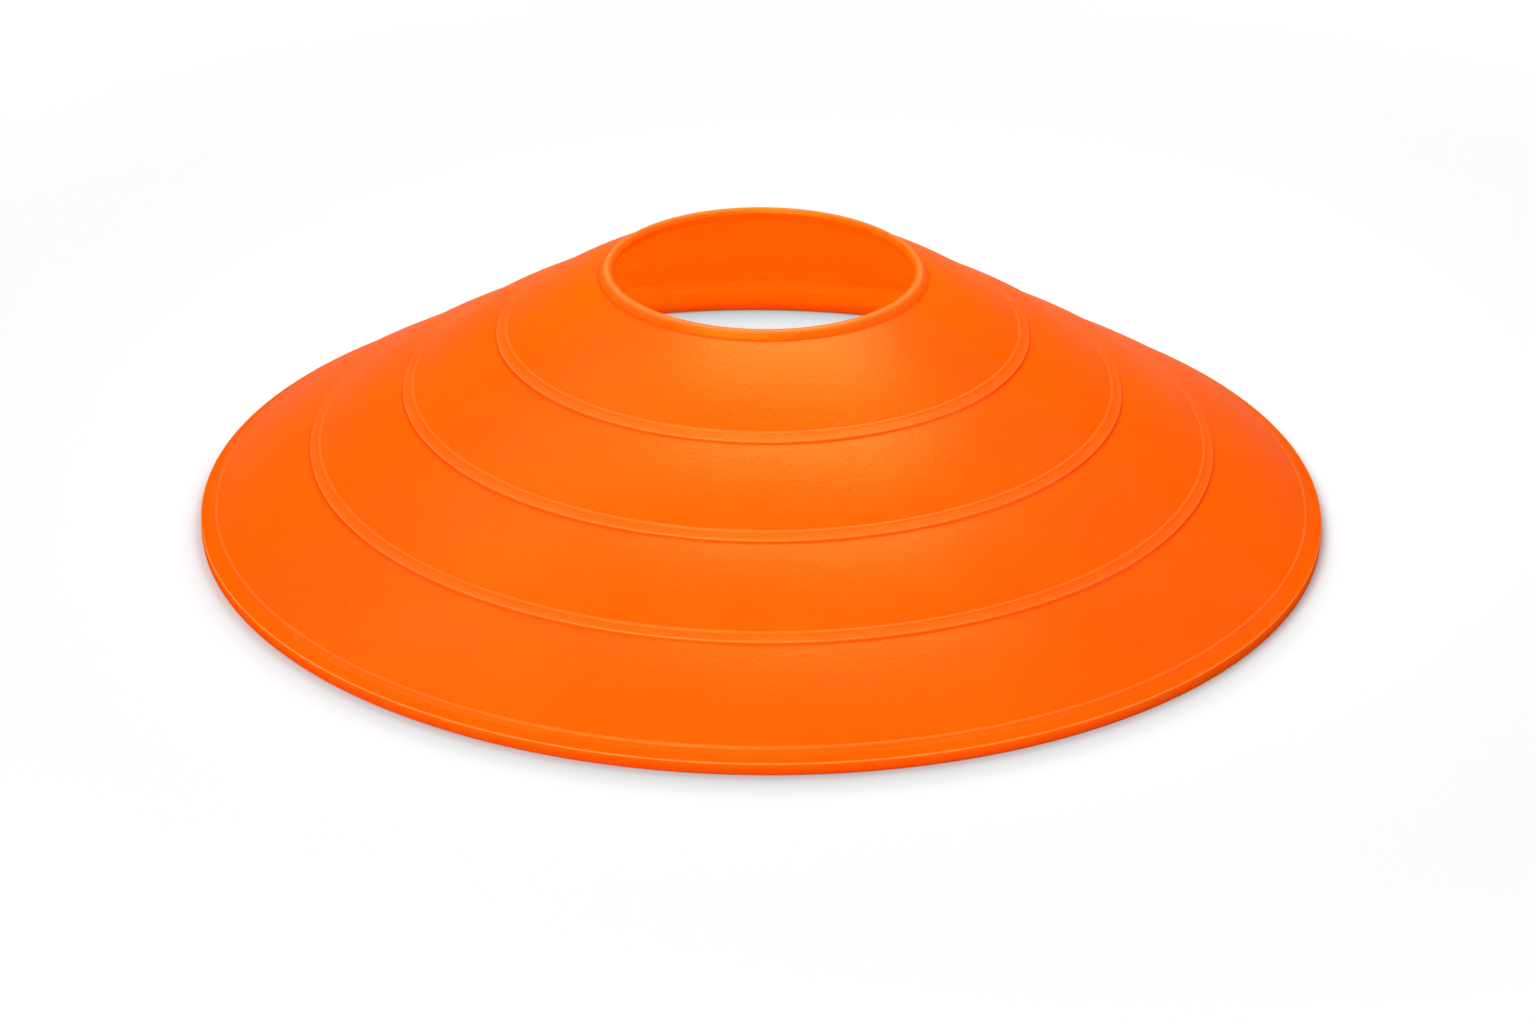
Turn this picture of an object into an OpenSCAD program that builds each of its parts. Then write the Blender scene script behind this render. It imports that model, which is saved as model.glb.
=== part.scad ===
// Sports marker cone: a flat disc cone, moulded in one piece of soft plastic.
// Sizes are millimetres. The origin is on the ground under the middle of the hole, and Z points up.
// The shell is one outline turned round Z: a collar round the carrying hole, bulged conical tiers
// with a ring band between each two, a rim band, and a flat foot ring that the cone stands on.

/* [Overall] */
// Diameter over the rim
rim_d = 190; // [160:1:230]
// Height from the ground to the crest of the collar
cone_h = 44.4; // [36:0.2:58]
// Number of conical tiers from the collar to the rim
tier_count = 4; // [2:1:6]

/* [Wall] */
// Thickness of the moulded wall
wall_t = 1.5; // [1:0.1:2]
// How far the middle of a tier stands out from a straight cone
tier_bulge = 0.5; // [0.1:0.05:0.8]
// How much wider the tier next to the collar is than the others
first_tier_extra = 1.3; // [0:0.1:3]

/* [Carrying hole and collar] */
// Diameter of the carrying hole
hole_d = 50.3; // [40:0.1:60]
// Thickness of the collar at its crest
collar_t = 1.6; // [1.1:0.05:2]
// Height of the collar's crest above the tier below it
collar_h = 1.5; // [1.3:0.1:2.5]
// Lean of the collar's outer side from the vertical, in degrees
collar_lean = 38; // [20:1:50]
// Radius of the turn from the hole's wall to the slope inside
hole_turn_r = 0.8; // [0.4:0.1:1.2]

/* [Ring bands] */
// Width of a band's shelf, seen from above
band_w = 1.9; // [1.4:0.1:3]
// Slope of a band's shelf, in degrees
band_slope = 26; // [15:1:28]
// Height of the step down from a shelf to the next tier
band_step = 0.5; // [0.3:0.05:0.8]
// Lean of that step from the vertical, in degrees
step_lean = 12; // [5:1:25]
// Radius of a shelf's outer edge
band_edge_r = 0.3; // [0.1:0.02:0.4]
// Width of the fine raised line along a shelf's upper edge
line_w = 0.6; // [0.4:0.05:0.8]
// Height of that line
line_h = 0.12; // [0.06:0.02:0.2]

/* [Rim] */
// Width of the rim band, seen from above
rim_w = 3; // [2:0.1:5]
// Slope of the rim band, in degrees
rim_slope = 27; // [15:1:32]
// Height of the rim's upright side
rim_side_h = 2.05; // [1.6:0.05:4]
// Radius of the shoulder between the rim band and the upright side
shoulder_r = 0.3; // [0.2:0.05:0.8]
// Width of the foot ring, inwards from the upright side
foot_ring_w = 11.2; // [5:0.2:20]
// Thickness of the foot ring
foot_ring_t = 1.4; // [1:0.1:2]
// Radius of the corner between the foot ring's top and the slope above it
root_r = 1.2; // [0.4:0.1:2]
// Radius of the foot ring's edges
foot_edge_r = 0.35; // [0.15:0.05:0.45]

/* [Hidden] */

// Sides of the full circle, and points along each kind of curve in the outline
$fn = 180;
bulge_steps = 8;
crest_steps = 8;
edge_steps = 3;
line_steps = 4;
inner_steps = 4;
turn_steps = 5;

// Collar: a half-round crest on a side that leans out to the first tier
rim_r = rim_d / 2;
hole_r = hole_d / 2;
crest_r = collar_t / 2;
crest_mid = [hole_r + crest_r, cone_h - crest_r];
side_top = crest_mid + crest_r * [cos(collar_lean), sin(collar_lean)];
collar_foot_z = cone_h - collar_h;
collar_foot = [side_top.x + (side_top.y - collar_foot_z) * tan(collar_lean), collar_foot_z];

// Rim line, where the last tier meets the rim band, and the share of each tier between it and the collar
rim_line = [rim_r - rim_w, rim_side_h + rim_w * tan(rim_slope)];
tier_run = (rim_line.x - collar_foot.x - first_tier_extra) / tier_count;
tier_drop = (collar_foot.y - rim_line.y) / tier_count;
tier_slope = atan(tier_drop / tier_run);

// The inside follows the tiers, lowered by the wall's thickness measured straight down. It is smoother
// than the outside: half as much bulge, and the bands' steps eased into slopes.
wall_drop = [0, -wall_t / cos(tier_slope)];

function unit(v) = v / norm(v);

// Points from a to b, without a, on a curve that stands out by rise at its middle
function bulged(a, b, rise, steps) =
    let (along = b - a, out = unit([-along.y, along.x]))
    [for (i = [1:steps]) let (t = i / steps) a + along * t + out * rise * 4 * t * (1 - t)];

// Points of an arc of radius r that rounds the corner at b, between straight lines to a and to c
function rounded(a, b, c, r, steps) =
    let (p = unit(a - b), q = unit(c - b), half = acos(p * q) / 2, turn = 180 - 2 * half)
    let (centre = b + unit(p + q) * r / sin(half))
    let (u = unit(b + p * r / tan(half) - centre), w = unit(b + q * r / tan(half) - centre))
    [for (i = [0:steps]) let (t = turn * i / steps) centre + r * (u * sin(turn - t) + w * sin(t)) / sin(turn)];

// Corners of band k, counted from the collar: the shelf's outer edge, its upper edge, the step's foot
function band_edge(k) = rim_line + (tier_count - k) * [-tier_run, tier_drop];
function band_top(k) = k < tier_count ? band_edge(k) + band_w * [-1, tan(band_slope)] : rim_line;
function band_foot(k) = k > 0 ? band_edge(k) + band_step * [tan(step_lean), -1] : collar_foot;

// Fine raised line that starts at corner a and runs down the slope
function raised_line(a, slope) =
    bulged(a, a + line_w * [1, -tan(slope)], line_h, line_steps);

function collar_outline() =
    [for (i = [0:crest_steps]) let (t = 180 - (180 - collar_lean) * i / crest_steps)
        crest_mid + crest_r * [cos(t), sin(t)]];

function tier_outline(k) =
    bulged(band_foot(k - 1), band_top(k), tier_bulge, bulge_steps);

function band_outline(k) = concat(
    raised_line(band_top(k), band_slope),
    rounded(band_top(k), band_edge(k), band_foot(k), band_edge_r, edge_steps),
    [band_foot(k)]);

rim_shoulder = [rim_r, rim_side_h];
rim_foot = [rim_r, 0];
ring_foot = [rim_r - foot_ring_w, 0];
ring_edge = [rim_r - foot_ring_w, foot_ring_t];

function rim_outline() = concat(
    raised_line(rim_line, rim_slope),
    rounded(rim_line, rim_shoulder, rim_foot, shoulder_r, edge_steps + 1),
    rounded(rim_shoulder, rim_foot, ring_foot, foot_edge_r, edge_steps),
    rounded(rim_foot, ring_foot, ring_edge, foot_edge_r, edge_steps));

// Inside of the shell, from the foot ring up to the hole's wall. The inner slope runs down to
// the foot ring, or to the upright side's own inner face where the rim is tall enough to have one.
last_inner = rim_line + wall_drop;
slope_end_r = last_inner.x + (last_inner.y - foot_ring_t) / tan(tier_slope);
inner_side_r = rim_r - wall_t;
ring_root = [min(slope_end_r, inner_side_r), foot_ring_t];
inner_shoulder = [ring_root.x, last_inner.y - (ring_root.x - last_inner.x) * tan(tier_slope)];

// The corner above the foot ring is rounded as far as the ring and the upright side leave room for it
tall_rim = slope_end_r > inner_side_r;
root_half = (tall_rim ? 90 : tier_slope) / 2;
root_room = min(ring_root.x - ring_edge.x, tall_rim ? inner_shoulder.y - foot_ring_t : rim_r) / 2;
root_next = tall_rim ? inner_shoulder : ring_root + [-tier_run, tier_drop];
ring_turn = rounded(ring_edge, ring_root, root_next, min(root_r, root_room * tan(root_half)), turn_steps);

hole_foot = [hole_r, collar_foot.y + wall_drop.y + (collar_foot.x - hole_r) * tan(tier_slope)];
hole_turn = rounded(hole_foot + [tier_run, -tier_drop], hole_foot, [hole_r, crest_mid.y],
    hole_turn_r, turn_steps);

function inner_tier(k) =
    let (end = tall_rim ? inner_shoulder : ring_turn[turn_steps])
    let (low = k < tier_count ? band_top(k) + wall_drop : end)
    let (high = k > 1 ? band_foot(k - 1) + wall_drop : hole_turn[0])
    bulged(low, high, -tier_bulge / 2, inner_steps);

function inner_outline() = concat(
    rounded(ring_foot, ring_edge, ring_root, foot_edge_r, edge_steps),
    ring_turn,
    tall_rim ? [inner_shoulder] : [],
    inner_tier(tier_count),
    [for (k = [tier_count - 1:-1:1], p = concat([band_top(k) + wall_drop], inner_tier(k))) p],
    [for (i = [1:turn_steps]) hole_turn[i]]);

module cone_shell() {
    color("darkorange")
    rotate_extrude()
    polygon(concat(
        collar_outline(),
        [collar_foot],
        [for (k = [1:tier_count], p = concat(tier_outline(k), k < tier_count ? band_outline(k) : [])) p],
        rim_outline(),
        inner_outline()));
}

cone_shell();
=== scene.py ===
"""Sports marker cone: a flat disc cone, moulded in one piece of soft orange plastic."""

from math import atan, cos, pi, radians, sin, tan

import bmesh
import bpy
from mathutils import Matrix, Vector


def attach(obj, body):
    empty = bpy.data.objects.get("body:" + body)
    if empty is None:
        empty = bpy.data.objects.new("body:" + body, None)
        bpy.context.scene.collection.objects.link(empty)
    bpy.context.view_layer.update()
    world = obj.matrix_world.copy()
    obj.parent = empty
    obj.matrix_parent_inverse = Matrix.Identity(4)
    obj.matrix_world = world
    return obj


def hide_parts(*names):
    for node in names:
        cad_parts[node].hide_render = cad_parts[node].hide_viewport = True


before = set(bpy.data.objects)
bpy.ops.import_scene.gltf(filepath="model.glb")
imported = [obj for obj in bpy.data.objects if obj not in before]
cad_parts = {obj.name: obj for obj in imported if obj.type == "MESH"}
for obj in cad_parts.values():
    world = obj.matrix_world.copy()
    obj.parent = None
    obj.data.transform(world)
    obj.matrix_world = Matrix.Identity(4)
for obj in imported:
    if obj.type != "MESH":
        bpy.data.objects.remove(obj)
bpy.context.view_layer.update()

# Sizes in metres, as the solid has them
RIM_R = 0.095
CONE_H = 0.0444
TIERS = 4
WALL_T = 0.0015
TIER_BULGE = 0.0005
FIRST_TIER_EXTRA = 0.0013
HOLE_R = 0.02515
COLLAR_T = 0.0016
COLLAR_H = 0.0015
COLLAR_LEAN = radians(38)
HOLE_TURN_R = 0.0008
BAND_W = 0.0019
BAND_SLOPE = radians(26)
BAND_STEP = 0.0005
STEP_LEAN = radians(12)
BAND_EDGE_R = 0.0003
LINE_W = 0.0006
LINE_H = 0.00012
RIM_W = 0.003
RIM_SLOPE = radians(27)
RIM_SIDE_H = 0.00205
SHOULDER_R = 0.0003
FOOT_RING_W = 0.0112
FOOT_RING_T = 0.0014
ROOT_R = 0.0012
FOOT_EDGE_R = 0.00035

# Radii of the small fillets that the mould leaves in its corners
CREASE_R = 0.00012
LINE_CREASE_R = 0.00006
INNER_CREASE_R = 0.003

# Steps of a quarter turn, points along a bowed run, and points round a sharp and a slight corner
QUARTER_STEPS = 72
TIER_POINTS = 26
INNER_POINTS = 12
LINE_POINTS = 5
CORNER_POINTS = 5
CREASE_POINTS = 3
SHARP_TURN = radians(45)

# The ends of the inside's bowed runs lie a little beyond the fillets next to them, and two fillets
# on one run stop a little short of each other. Points closer than the last of these become one.
PAST_TURN = 1.02
SHORT_OF = 0.99
MERGE_DIST = 0.000001

# How far the painted highlight on each kind of ridge, the painted light on the hole's wall and on
# the root, and the painted shade in a crease reach, and how strong they are, from 1 for the
# palest to -1 for the deepest
EDGE_REACH, EDGE_HIGHLIGHT = 0.00018, 0.36
RIM_EDGE_REACH, RIM_EDGE_HIGHLIGHT = 0.00024, 0.5
LINE_REACH, LINE_HIGHLIGHT = 0.00032, 0.22
CREST_REACH, CREST_HIGHLIGHT = 0.0008, 0.3
WALL_REACH, WALL_PAINTED_LIGHT = 0.0015, 0.05
ROOT_REACH, ROOT_PAINTED_LIGHT = 0.0024, 0.09
CREASE_REACH, DEEPEST_SHADE = 0.0004, -1

# Where on the outer half of the collar's round crest the painted highlight is strongest, as a turn
# up from the level
CREST_TURN = radians(64)

# The skins' finishes, in the order of the piece's material slots
LIP, GRAINED, RIM, INSIDE = range(4)


# Main points of the outline, each in the plane of the radius and the height

def place(r, z):
    return Vector((r, 0, z))


rim_line = place(RIM_R - RIM_W, RIM_SIDE_H + RIM_W * tan(RIM_SLOPE))
rim_band = place(RIM_R - RIM_W / 2, RIM_SIDE_H + RIM_W / 2 * tan(RIM_SLOPE))
rim_shoulder = place(RIM_R, RIM_SIDE_H)

crest_r = COLLAR_T / 2
crest_mid = place(HOLE_R + crest_r, CONE_H - crest_r)
side_top = crest_mid + crest_r * place(cos(COLLAR_LEAN), sin(COLLAR_LEAN))
side_up = place(-sin(COLLAR_LEAN), cos(COLLAR_LEAN))
collar_foot_z = CONE_H - COLLAR_H
collar_foot = place(side_top.x + (side_top.z - collar_foot_z) * tan(COLLAR_LEAN), collar_foot_z)

tier_run = (rim_line.x - collar_foot.x - FIRST_TIER_EXTRA) / TIERS
tier_drop = (collar_foot.z - rim_line.z) / TIERS
tier_slope = atan(tier_drop / tier_run)
upwards = place(-cos(tier_slope), sin(tier_slope))
wall_drop = place(0, -WALL_T / cos(tier_slope))

ring_under = place(RIM_R - FOOT_RING_W / 2, 0)
ring_foot = place(RIM_R - FOOT_RING_W, 0)
ring_root = rim_line + wall_drop
ring_root += (ring_root.z - FOOT_RING_T) * place(1 / tan(tier_slope), -1)
root_run = ROOT_R / tan(tier_slope / 2)

hole_wall = place(HOLE_R, CONE_H - crest_r)
hole_foot = place(HOLE_R, collar_foot.z + wall_drop.z + (collar_foot.x - HOLE_R) * tan(tier_slope))


def band_edge(k):
    """Outer edge of the band below tier k, counted from the collar."""
    return rim_line + (TIERS - k) * place(-tier_run, tier_drop)


def band_top(k):
    return band_edge(k) + BAND_W * place(-1, tan(BAND_SLOPE)) if k < TIERS else rim_line


def band_foot(k):
    return band_edge(k) + BAND_STEP * place(tan(STEP_LEAN), -1) if k else collar_foot


def line_end(k):
    """Lower end of the raised line, which starts at the band's upper edge."""
    return band_top(k) + LINE_W * place(1, -tan(BAND_SLOPE if k < TIERS else RIM_SLOPE))


# The outline's four parts, and where highlights, light and shade are painted on it

def corner(spot, radius=0, bow=None):
    """A place, its fillet's radius and, for the run to it, a bow: a rise and a count of points."""
    return spot, radius, bow


def collar_outline():
    """The collar: a crest from two fillets that meet, then the leaning side, where two more points
    keep the crest's painted highlight and the crease's painted shade apart."""
    crest_end = crest_mid.x + crest_r * tan((pi / 2 - COLLAR_LEAN) / 2)
    return [
        corner(hole_wall),
        corner(place(HOLE_R, CONE_H), crest_r * SHORT_OF),
        corner(place(crest_end, CONE_H), crest_r * SHORT_OF),
        corner(side_top - CREST_REACH / 2 * side_up),
        corner(collar_foot + CREASE_REACH * side_up),
        corner(collar_foot)]


def tiers_outline():
    """Each tier with the raised line, the shelf and the step of the band below it."""
    corners = [corner(collar_foot)]
    for k in range(1, TIERS + 1):
        corners += [
            corner(band_top(k), LINE_CREASE_R, (TIER_BULGE, TIER_POINTS)),
            corner(line_end(k), LINE_CREASE_R, (LINE_H, LINE_POINTS))]
        if k < TIERS:
            corners += [corner(band_edge(k), BAND_EDGE_R), corner(band_foot(k), CREASE_R)]
    return corners + [corner(rim_band)]


def rim_outline():
    """The rim band's lower half, its shoulder, the upright side and the foot ring's outer half."""
    return [
        corner(rim_band),
        corner(rim_shoulder + RIM_EDGE_REACH * place(-cos(RIM_SLOPE), sin(RIM_SLOPE))),
        corner(rim_shoulder, SHOULDER_R),
        corner(place(RIM_R, 0), FOOT_EDGE_R),
        corner(ring_under)]


def inside_outline():
    """The foot ring's inner half and edge, then up the inside to the hole. The sharp corner above
    the ring is cut off by a short upright run, whose two corners are rounded on one arc."""
    root_low = ring_root + place(ROOT_R - root_run, 0)
    root_high = root_low + place(0, (root_run - ROOT_R) * tan(tier_slope))
    root_end = ring_root + upwards * root_run * PAST_TURN
    hole_turn = hole_foot - upwards * HOLE_TURN_R * tan(pi / 4 - tier_slope / 2) * PAST_TURN
    corners = [
        corner(ring_under),
        corner(ring_foot, FOOT_EDGE_R),
        corner(ring_foot + place(0, FOOT_RING_T), FOOT_EDGE_R),
        corner(root_low, ROOT_R * SHORT_OF),
        corner(root_high, ROOT_R * SHORT_OF),
        corner(root_end)]
    for k in range(TIERS, 0, -1):
        if k < TIERS:
            corners.append(corner(band_top(k) + wall_drop, INNER_CREASE_R))
        high, radius = (band_foot(k - 1) + wall_drop, INNER_CREASE_R) if k > 1 else (hole_turn, 0)
        corners.append(corner(high, radius, (-TIER_BULGE / 2, INNER_POINTS)))
    return corners + [corner(hole_foot, HOLE_TURN_R), corner(hole_wall)]


def painted_light_places():
    """Where highlights and light are painted on ridges and dim places, and shade in the creases and
    low on the rim side, each as a place, a reach and a strength.
    """
    crest_highlight = crest_mid + crest_r * place(cos(CREST_TURN), sin(CREST_TURN))
    # Painted highlights on the crest, the rim's shoulder, the raised lines and the band edges,
    # painted light that lifts the hole's wall and the root, and painted shade in the creases
    touches = [
        (crest_highlight, CREST_REACH, CREST_HIGHLIGHT),
        (collar_foot, CREASE_REACH, DEEPEST_SHADE),
        (rim_shoulder, RIM_EDGE_REACH, RIM_EDGE_HIGHLIGHT),
        # Painted shade, darker towards the bottom of the rim side
        (place(RIM_R, 0), RIM_SIDE_H, DEEPEST_SHADE),
        (hole_foot, WALL_REACH, WALL_PAINTED_LIGHT),
        (ring_root + place(-root_run, ROOT_R), ROOT_REACH, ROOT_PAINTED_LIGHT)]
    for k in range(1, TIERS + 1):
        touches.append(((band_top(k) + line_end(k)) / 2, LINE_REACH, LINE_HIGHLIGHT))
        if k < TIERS:
            touches.append((band_edge(k), EDGE_REACH, EDGE_HIGHLIGHT))
            touches.append((band_foot(k), CREASE_REACH, DEEPEST_SHADE))
    return touches


# Drawing an outline, and turning it round the middle

def draw(mesh, corners):
    """Joins corners by runs, bows the runs that have a bow and rounds the corners with a radius."""
    dots = [mesh.verts.new(spot) for spot, _, _ in corners]
    runs = [mesh.edges.new(pair) for pair in zip(dots, dots[1:])]
    for run, (start, _, _), (end, _, bow) in zip(runs, corners, corners[1:]):
        if bow:
            bend(mesh, run, start, end, *bow)
    for spot, radius, _ in corners:
        if radius:
            fillet(mesh, min(mesh.verts, key=lambda dot: (dot.co - spot).length), radius)


def bend(mesh, run, start, end, rise, count):
    """Bows a straight run outwards by rise at its middle, with its points closest near its ends."""
    along = end - start
    out = place(-along.z, along.x).normalized()
    parts = bmesh.ops.subdivide_edges(mesh, edges=[run], cuts=count)
    for dot in [part for part in parts["geom_inner"] if isinstance(part, bmesh.types.BMVert)]:
        share = (1 - cos(pi * (dot.co - start).length / along.length)) / 2
        dot.co = start + along * share + out * rise * 4 * share * (1 - share)


def fillet(mesh, dot, radius):
    arms = [edge.other_vert(dot).co - dot.co for edge in dot.link_edges]
    angle = arms[0].angle(arms[1])
    bmesh.ops.bevel(
        mesh, geom=[dot], affect="VERTICES", offset_type="OFFSET", offset=radius / tan(angle / 2),
        segments=CORNER_POINTS if pi - angle > SHARP_TURN else CREASE_POINTS, profile=0.5,
        material=-1, clamp_overlap=False)


def turn(mesh, corners, finish, touches):
    """Turns an outline round the middle, a quarter by spin and the rest by mirrors, and adds the
    skin to mesh. Its "ridge" value is the touches' strength of painted highlight, painted light or
    painted shade, which fades out over their reach."""
    skin = bmesh.new()
    draw(skin, corners)
    ridge = skin.verts.layers.float.new("ridge")
    for dot in skin.verts:
        dot[ridge] = sum(
            strength * max(0, 1 - (dot.co - spot).length / reach)
            for spot, reach, strength in touches)
    bmesh.ops.spin(
        skin, geom=skin.verts[:] + skin.edges[:], cent=(0, 0, 0), axis=(0, 0, 1), dvec=(0, 0, 0),
        angle=pi / 2, steps=QUARTER_STEPS)
    for side in ("X", "Y"):
        bmesh.ops.mirror(
            skin, geom=skin.verts[:] + skin.edges[:] + skin.faces[:], axis=side,
            merge_dist=MERGE_DIST)
    for face in skin.faces:
        face.material_index = finish
        face.smooth = True
    turned = bpy.data.meshes.new("turned_skin")
    skin.to_mesh(turned)
    skin.free()
    mesh.from_mesh(turned)
    bpy.data.meshes.remove(turned)


def finished(name, mesh, *materials):
    """The object that a mesh makes, with its materials."""
    shape = bpy.data.meshes.new(name)
    mesh.to_mesh(shape)
    mesh.free()
    for material in materials:
        shape.materials.append(material)
    made = bpy.data.objects.new(name, shape)
    bpy.context.scene.collection.objects.link(made)
    return made


def moulded_shell(name, *materials):
    """The whole cone: collar, tiers with their bands, rim, foot ring and the inside."""
    mesh = bmesh.new()
    mesh.verts.layers.float.new("ridge")
    # The touches are painted highlights, painted light and painted shade, held in the "ridge" value
    touches = painted_light_places()
    turn(mesh, collar_outline(), LIP, touches)
    turn(mesh, tiers_outline(), GRAINED, touches)
    turn(mesh, rim_outline(), RIM, touches)
    turn(mesh, inside_outline(), INSIDE, touches)
    bmesh.ops.remove_doubles(mesh, verts=mesh.verts, dist=MERGE_DIST)
    bmesh.ops.recalc_face_normals(mesh, faces=mesh.faces)
    return finished(name, mesh, *materials)


# Materials

def new_group(name, inputs, outputs):
    """An empty shader node group with number or colour sockets, each (name, kind, default)."""
    group = bpy.data.node_groups.new(name, "ShaderNodeTree")
    for way, sockets in (("INPUT", inputs), ("OUTPUT", outputs)):
        for title, kind, start in sockets:
            socket = group.interface.new_socket(title, in_out=way, socket_type="NodeSocket" + kind)
            if start is not None:
                socket.default_value = start
    return group


def node(tree, kind, values=None, **settings):
    made = tree.nodes.new("ShaderNode" + kind)
    for key, value in settings.items():
        setattr(made, key, value)
    for key, value in (values or {}).items():
        made.inputs[key].default_value = value
    return made


def calc(tree, operation, *values):
    """A Math node on sockets or numbers, and its result."""
    made = node(tree, "Math", operation=operation)
    for slot, value in zip(made.inputs, values):
        if isinstance(value, bpy.types.NodeSocket):
            tree.links.new(value, slot)
        else:
            slot.default_value = value
    return made.outputs[0]


def ramp(tree, value, low, high):
    """Turns a value into another, smoothly, between two pairs of (value, result)."""
    made = node(tree, "MapRange", {
        "From Min": low[0], "To Min": low[1], "From Max": high[0], "To Max": high[1]},
        interpolation_type="SMOOTHSTEP")
    tree.links.new(value, made.inputs["Value"])
    return made.outputs["Result"]


def new_material(name, values):
    """A material with values on its shader's own sockets, its node tree and that shader."""
    material = bpy.data.materials.new(name)
    material.use_nodes = True
    shader = material.node_tree.nodes["Principled BSDF"]
    for key, value in values.items():
        shader.inputs[key].default_value = value
    return material, material.node_tree, shader


# Cells per metre of the grain and of the waves, the finer layers of each, and how strong those are
GRAIN_SCALE, GRAIN_DETAIL = 1500.0, 3.0
WAVE_SCALE, WAVE_DETAIL = 280.0, 2.0
RELIEF_ROUGHNESS = 0.55


def moulding_grain():
    """Height, in metres, of the fine leathery grain and of the slow waves of a moulded face."""
    group = new_group(
        "moulding_grain",
        [("Vector", "Vector", None),
         ("Grain Scale", "Float", GRAIN_SCALE), ("Grain Depth", "Float", None),
         ("Wave Scale", "Float", WAVE_SCALE), ("Wave Depth", "Float", None)],
        [("Height", "Float", None)])
    start = group.nodes.new("NodeGroupInput")
    end = group.nodes.new("NodeGroupOutput")
    heights = []
    for kind, detail in (("Grain", GRAIN_DETAIL), ("Wave", WAVE_DETAIL)):
        noise = node(group, "TexNoise", {"Detail": detail, "Roughness": RELIEF_ROUGHNESS})
        group.links.new(start.outputs["Vector"], noise.inputs["Vector"])
        group.links.new(start.outputs[kind + " Scale"], noise.inputs["Scale"])
        depth = start.outputs[kind + " Depth"]
        heights.append(calc(group, "MULTIPLY", noise.outputs["Fac"], depth))
    group.links.new(calc(group, "ADD", *heights), end.inputs["Height"])
    return group


# Ridges get a paler tone as a painted highlight, and creases a deeper tone as painted shade
PAINTED_HIGHLIGHT_TONE, INNER_PAINTED_HIGHLIGHT_TONE = (0.985, 0.42, 0.12, 1.0), (0.985, 0.42, 0.0, 1.0)
PAINTED_CREASE_SHADE_TONE = (0.985, 0.055, 0.0, 1.0)

# Cells per metre of the clouds, their finer layers and how strong those are, the values between
# which the dark tone turns into the light one, and how much rougher the light one is
CLOUD_SCALE, CLOUD_DETAIL, CLOUD_ROUGHNESS = 30.0, 2.0, 0.5
CLOUD_LOW, CLOUD_HIGH = 0.2, 0.8
ROUGHNESS_DRIFT = 0.06


def moulded_colour():
    """Colour and roughness of a moulded face: cloudy tones, with painted highlights on ridges and
    painted shade in creases.
    """
    group = new_group(
        "moulded_colour",
        [("Vector", "Vector", None), ("Light Tone", "Color", None), ("Dark Tone", "Color", None),
         ("Ridge Tone", "Color", None), ("Crease Tone", "Color", PAINTED_CREASE_SHADE_TONE),
         ("Ridge", "Float", None), ("Cloud Scale", "Float", CLOUD_SCALE),
         ("Roughness", "Float", None), ("Roughness Drift", "Float", ROUGHNESS_DRIFT)],
        [("Color", "Color", None), ("Roughness", "Float", None)])
    start = group.nodes.new("NodeGroupInput")
    end = group.nodes.new("NodeGroupOutput")
    clouds = node(group, "TexNoise", {"Detail": CLOUD_DETAIL, "Roughness": CLOUD_ROUGHNESS})
    group.links.new(start.outputs["Vector"], clouds.inputs["Vector"])
    group.links.new(start.outputs["Cloud Scale"], clouds.inputs["Scale"])
    tone = ramp(group, clouds.outputs["Fac"], (CLOUD_LOW, 0.0), (CLOUD_HIGH, 1.0))
    # Above 0 the "Ridge" value mixes in the painted highlight, below 0 the painted shade
    highlight_share = start.outputs["Ridge"]
    shade_share = calc(group, "MAXIMUM", calc(group, "MULTIPLY", highlight_share, -1.0), 0.0)
    colour = start.outputs["Dark Tone"]
    for share, title in ((tone, "Light Tone"), (highlight_share, "Ridge Tone"), (shade_share, "Crease Tone")):
        blend = node(group, "MixRGB", use_clamp=True)
        group.links.new(share, blend.inputs["Fac"])
        group.links.new(colour, blend.inputs["Color1"])
        group.links.new(start.outputs[title], blend.inputs["Color2"])
        colour = blend.outputs["Color"]
    group.links.new(colour, end.inputs["Color"])
    off_middle = calc(group, "SUBTRACT", tone, 0.5)
    drift = calc(group, "MULTIPLY", off_middle, start.outputs["Roughness Drift"])
    group.links.new(calc(group, "ADD", drift, start.outputs["Roughness"]), end.inputs["Roughness"])
    return group


# The light and the dark tone of the outside and of the inside; the inside's are darker, as painted
# shade
OUTER_TONES = (0.985, 0.107, 0.0005, 1.0), (0.985, 0.095, 0.0003, 1.0)
SHADED_INNER_TONES = (0.985, 0.074, 0.0005, 1.0), (0.985, 0.067, 0.0003, 1.0)

# The soft plastic itself: its sheen is orange too, and light runs on in it, red the furthest
PLASTIC_IOR = 1.5
SHEEN_TINT = (1.0, 0.8, 0.03, 1.0)
SCATTER_SHARE, SCATTER_REACH, SCATTER_TINT = 0.3, 0.006, (1.0, 0.05, 0.02)

# Roughness, and the depths in metres of the grain and of the waves
OUTER_ROUGHNESS, INNER_ROUGHNESS = 0.31, 0.7
FINE_RELIEF = (0.000006, 0.00001)
LEATHERY_RELIEF = (0.00011, 0.00004)
INNER_RELIEF = (0.00001, 0.00001)

# A matt face mirrors less at a grazing look, as its grain hides the view: between which looks this
# sets in, from 0 for straight on to 1 for edge on, the share of the shine that it takes away, and
# how rough the face then is
GRAZE_FROM, GRAZE_TO = 0.22, 0.52
GRAZE_DULL, GRAZE_ROUGH = 0.985, 0.45


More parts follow.
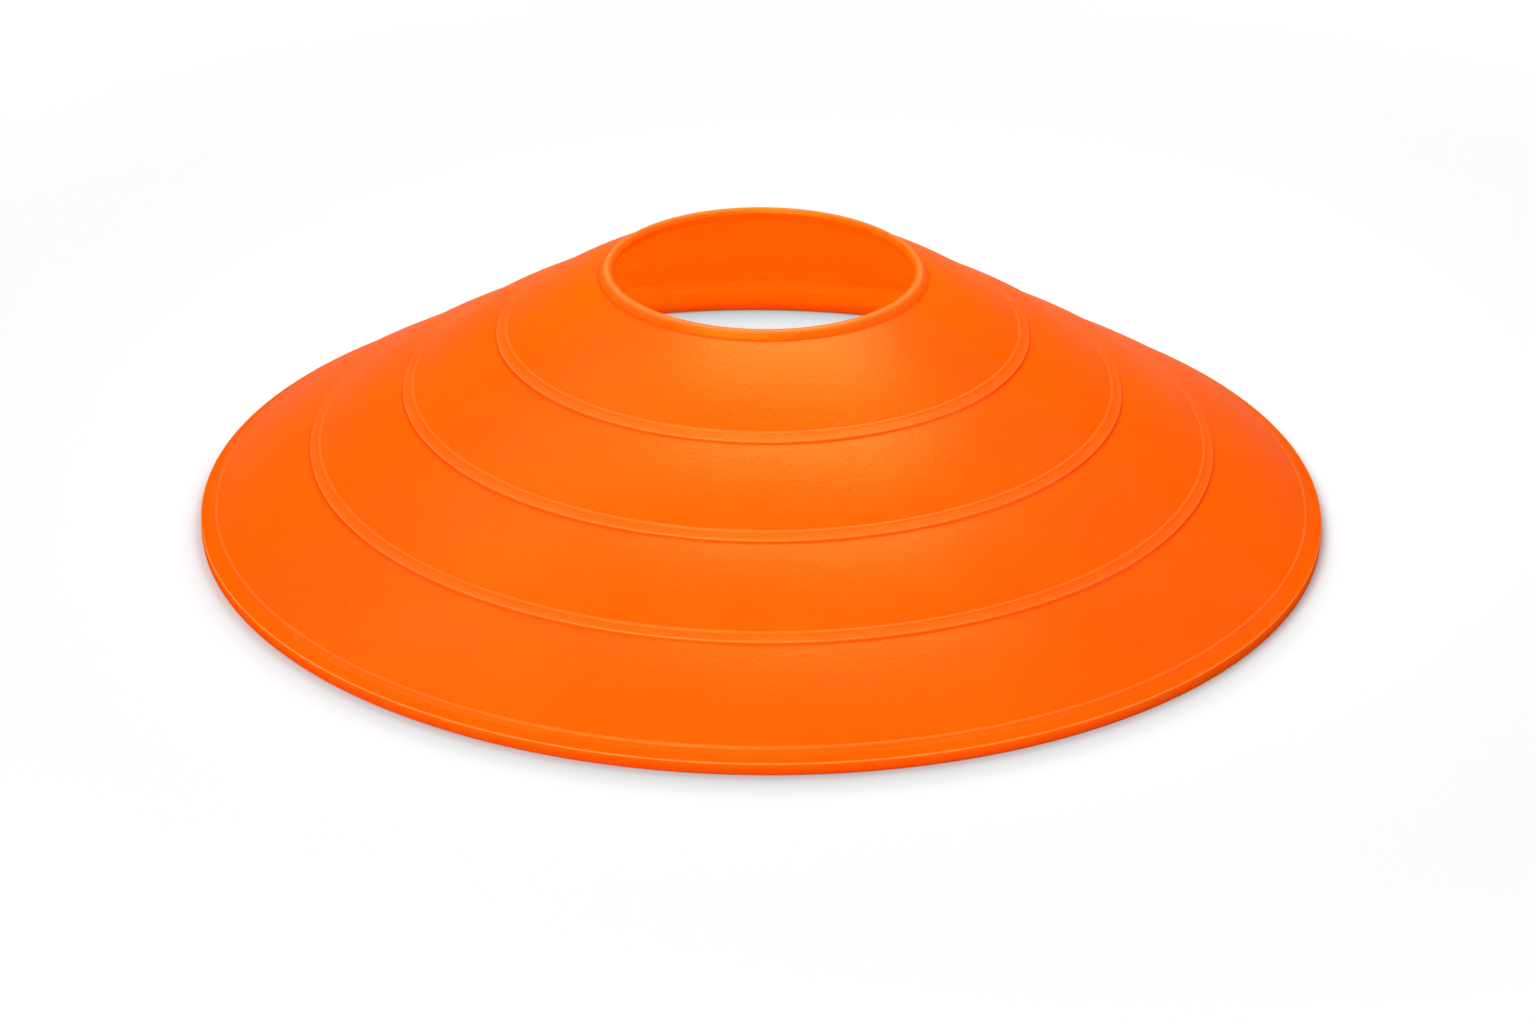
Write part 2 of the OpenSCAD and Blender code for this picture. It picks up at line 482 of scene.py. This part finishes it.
def plastic(name, tones, roughness, relief, shine, highlight_tone=PAINTED_HIGHLIGHT_TONE):
    """The plastic with one of its finishes. The shine is that of a face seen straight on."""
    material, tree, shader = new_material(name, {
        "IOR": PLASTIC_IOR, "Specular Tint": SHEEN_TINT, "Specular IOR Level": shine,
        "Subsurface Weight": SCATTER_SHARE, "Subsurface Scale": SCATTER_REACH,
        "Subsurface Radius": SCATTER_TINT})
    spots = node(tree, "TexCoord")
    # The "ridge" attribute brings the painted highlights and painted shade into the colour
    edges = node(tree, "Attribute", attribute_name="ridge")
    skin = node(tree, "Group", {
        "Light Tone": tones[0], "Dark Tone": tones[1], "Ridge Tone": highlight_tone,
        "Roughness": roughness}, node_tree=colour)
    tree.links.new(spots.outputs["Object"], skin.inputs["Vector"])
    tree.links.new(edges.outputs["Fac"], skin.inputs["Ridge"])
    tree.links.new(skin.outputs["Color"], shader.inputs["Base Color"])
    facing = node(tree, "LayerWeight", {"Blend": 0.5})
    grazing = ramp(tree, facing.outputs["Facing"], (GRAZE_FROM, 0.0), (GRAZE_TO, 1.0))
    graze_rough = calc(tree, "MULTIPLY", grazing, GRAZE_ROUGH)
    tree.links.new(
        calc(tree, "MAXIMUM", skin.outputs["Roughness"], graze_rough), shader.inputs["Roughness"])
    if shine:
        dulled = calc(tree, "MULTIPLY_ADD", grazing, -shine * GRAZE_DULL, shine)
        tree.links.new(dulled, shader.inputs["Specular IOR Level"])
    height = node(
        tree, "Group", {"Grain Depth": relief[0], "Wave Depth": relief[1]}, node_tree=grain)
    tree.links.new(spots.outputs["Object"], height.inputs["Vector"])
    bump = node(tree, "Bump", {"Strength": 1.0, "Distance": 1.0})
    tree.links.new(height.outputs["Height"], bump.inputs["Height"])
    tree.links.new(bump.outputs["Normal"], shader.inputs["Normal"])
    return material


grain = moulding_grain()
colour = moulded_colour()
piece = moulded_shell(
    "moulded_shell",
    plastic("lip_orange", OUTER_TONES, OUTER_ROUGHNESS, FINE_RELIEF, shine=0.5),
    plastic("grained_orange", OUTER_TONES, OUTER_ROUGHNESS, LEATHERY_RELIEF, shine=0.6),
    plastic("rim_orange", OUTER_TONES, OUTER_ROUGHNESS, FINE_RELIEF, shine=0.05),
    # The inside's darker tones are painted shade
    plastic("inside_orange", SHADED_INNER_TONES, INNER_ROUGHNESS, INNER_RELIEF, shine=0.0,
            highlight_tone=INNER_PAINTED_HIGHLIGHT_TONE))
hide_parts("cone_shell")
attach(piece, "root")


# Floor, world and lamps

WHITE, BLACK = (1.0, 1.0, 1.0, 1.0), (0.0, 0.0, 0.0, 1.0)

# Half the floor's width, and how far it lies below the foot ring
FLOOR_REACH = 20.0
FLOOR_DROP = 0.00002

# The floor's white, a painted shadow under the cone and a deeper painted contact shadow in that
# below the rim, and how far from the painted shadow's middle the contact shadow sets in and the
# painted shadow ends
FLOOR_WHITE = (0.8, 0.8, 0.8, 1.0)
FLOOR_PAINTED_SHADOW = (0.61, 0.63, 0.64, 1.0)
FLOOR_CONTACT_SHADOW = (0.42, 0.5, 0.51, 1.0)
PAINTED_SHADOW_MIDDLE = (0, -0.0045, 0)
CONTACT_SHADOW_FROM, CONTACT_SHADOW_TO = 0.081, 0.0885
PAINTED_SHADOW_FROM, PAINTED_SHADOW_TO = 0.088, 0.1005

# The white that is added to the floor where it is seen, as (distance from that middle, strength)
FLOOR_NEAR, FLOOR_FAR = (0.1, 0.04), (0.5, 0.64)

# The world's strength as a light, and how high above the horizon its white is seen
WORLD_LEVEL = 0.44
SWEEP_TOP = 0.06

# Places up the inside that the glowing rings run between, how strong the rings are, and their sides
GLOW_FOOT, GLOW_BEND, GLOW_TOP = place(0.0883, 0.0017), place(0.0887, 0.0031), place(0.0258, 0.0416)
ROOT_GLOW, INNER_GLOW = 2.6, 1.2
GLOW_SIDES = 96


def seen_rays(tree):
    """1 for rays from the camera, from a reflection or through glass, else 0."""
    rays = node(tree, "LightPath")
    seen = rays.outputs["Is Camera Ray"]
    for kind in ("Is Glossy Ray", "Is Transmission Ray"):
        seen = calc(tree, "MAXIMUM", seen, rays.outputs[kind])
    return seen


def white_floor():
    paint, tree, shader = new_material("white_floor", {
        "Roughness": 1.0, "Specular IOR Level": 0.0, "Emission Color": WHITE})
    spots = node(tree, "TexCoord")
    away = node(tree, "VectorMath", {1: PAINTED_SHADOW_MIDDLE}, operation="DISTANCE")
    tree.links.new(spots.outputs["Object"], away.inputs[0])
    distance = away.outputs["Value"]
    # A painted shadow under the cone, with a deeper painted contact shadow in it below the rim
    painted_shadow = node(tree, "MixRGB", {"Color1": FLOOR_PAINTED_SHADOW, "Color2": FLOOR_CONTACT_SHADOW})
    tree.links.new(ramp(tree, distance, (CONTACT_SHADOW_FROM, 0.0), (CONTACT_SHADOW_TO, 1.0)), painted_shadow.inputs["Fac"])
    tone = node(tree, "MixRGB", {"Color2": FLOOR_WHITE})
    tree.links.new(painted_shadow.outputs["Color"], tone.inputs["Color1"])
    tree.links.new(ramp(tree, distance, (PAINTED_SHADOW_FROM, 0.0), (PAINTED_SHADOW_TO, 1.0)), tone.inputs["Fac"])
    tree.links.new(tone.outputs["Color"], shader.inputs["Base Color"])
    glow = calc(tree, "MULTIPLY", seen_rays(tree), ramp(tree, distance, FLOOR_NEAR, FLOOR_FAR))
    tree.links.new(glow, shader.inputs["Emission Strength"])
    mesh = bmesh.new()
    bmesh.ops.create_grid(mesh, x_segments=1, y_segments=1, size=FLOOR_REACH)
    bmesh.ops.translate(mesh, verts=mesh.verts, vec=(0, 0, -FLOOR_DROP))
    floor = finished("white_floor", mesh, paint)


def white_world():
    """White at the horizon and dark above it where it is seen, and one plain level as a light."""
    world = bpy.data.worlds.new("white_world")
    bpy.context.scene.world = world
    world.use_nodes = True
    tree = world.node_tree
    ground = tree.nodes["Background"]
    ground.inputs["Color"].default_value = WHITE
    spots = node(tree, "TexCoord")
    way = node(tree, "SeparateXYZ")
    tree.links.new(spots.outputs["Generated"], way.inputs["Vector"])
    sweep = ramp(tree, way.outputs["Z"], (0.0, 1.0), (SWEEP_TOP, 0.0))
    extra = calc(tree, "MULTIPLY", seen_rays(tree), calc(tree, "SUBTRACT", sweep, WORLD_LEVEL))
    tree.links.new(calc(tree, "ADD", extra, WORLD_LEVEL), ground.inputs["Strength"])


def inner_lamp(name, low, high, strength):
    """A thin glowing ring close under the shell, unseen, that lights the inside as plainly as the
    outside is lit."""
    light, _, _ = new_material(name, {
        "Base Color": BLACK, "Specular IOR Level": 0.0, "Emission Color": WHITE,
        "Emission Strength": strength})
    mesh = bmesh.new()
    bmesh.ops.create_cone(
        mesh, cap_ends=False, segments=GLOW_SIDES, radius1=low.x, radius2=high.x,
        depth=high.z - low.z)
    bmesh.ops.translate(mesh, verts=mesh.verts, vec=(0, 0, (high.z + low.z) / 2))
    ring = finished(name, mesh, light)
    ring.visible_camera = ring.visible_glossy = ring.visible_shadow = False


def softbox(name, spot, target, size, radiance):
    """A flat lamp at spot that faces target, whose surface has the given radiance."""
    lamp = bpy.data.lights.new(name, "AREA")
    lamp.shape = "RECTANGLE"
    lamp.size, lamp.size_y = size
    lamp.energy = radiance * pi * size[0] * size[1]
    box = bpy.data.objects.new(name, lamp)
    bpy.context.scene.collection.objects.link(box)
    box.location = spot
    box.rotation_euler = (Vector(target) - Vector(spot)).to_track_quat("-Z", "Y").to_euler()
    box.visible_camera = False


white_floor()
white_world()
softbox("overhead_softbox", spot=(0.021, 0.049, 0.177), target=(0.021, 0.049, 0),
        size=(0.132, 0.147), radiance=3.2)
softbox("left_softbox", spot=(-0.35, 0.15, 0.6), target=(0, 0, 0), size=(0.4, 0.4), radiance=0.6)
softbox("front_softbox", spot=(-0.4, -1.18, 0.86), target=(0, 0, 0), size=(1.4, 0.9), radiance=5.6)
inner_lamp("inner_lamp", GLOW_BEND, GLOW_TOP, INNER_GLOW)
inner_lamp("root_lamp", GLOW_FOOT, GLOW_BEND, ROOT_GLOW)


# Camera, where the photograph was taken from: how far from its aim it is, how it tilts and rolls,
# what it aims at, and how far below that its line of sight passes

CAMERA_FAR = 0.85
CAMERA_TILT = radians(25.84)
CAMERA_ROLL = radians(0.52)
AIM = Vector((0.00113, 0, 0))
AIM_DROP = 0.00092
FOCAL_PX = 4983.0
PHOTO_W = 1536
SENSOR_W = 36.0
NEAR_CLIP = 0.01

camera_data = bpy.data.cameras.new("camera")
camera_data.sensor_width = SENSOR_W
camera_data.lens = FOCAL_PX / PHOTO_W * SENSOR_W
camera_data.clip_start = NEAR_CLIP
camera = bpy.data.objects.new("camera", camera_data)
bpy.context.scene.collection.objects.link(camera)
back = Vector((0, -cos(CAMERA_TILT), sin(CAMERA_TILT)))
down = Vector((0, -sin(CAMERA_TILT), -cos(CAMERA_TILT)))
spot = AIM + back * CAMERA_FAR + down * AIM_DROP
camera.matrix_world = (
    Matrix.Translation(spot) @ Matrix.Rotation(pi / 2 - CAMERA_TILT, 4, "X")
    @ Matrix.Rotation(CAMERA_ROLL, 4, "Z"))
bpy.context.scene.camera = camera
bpy.context.scene.view_settings.view_transform = "Standard"
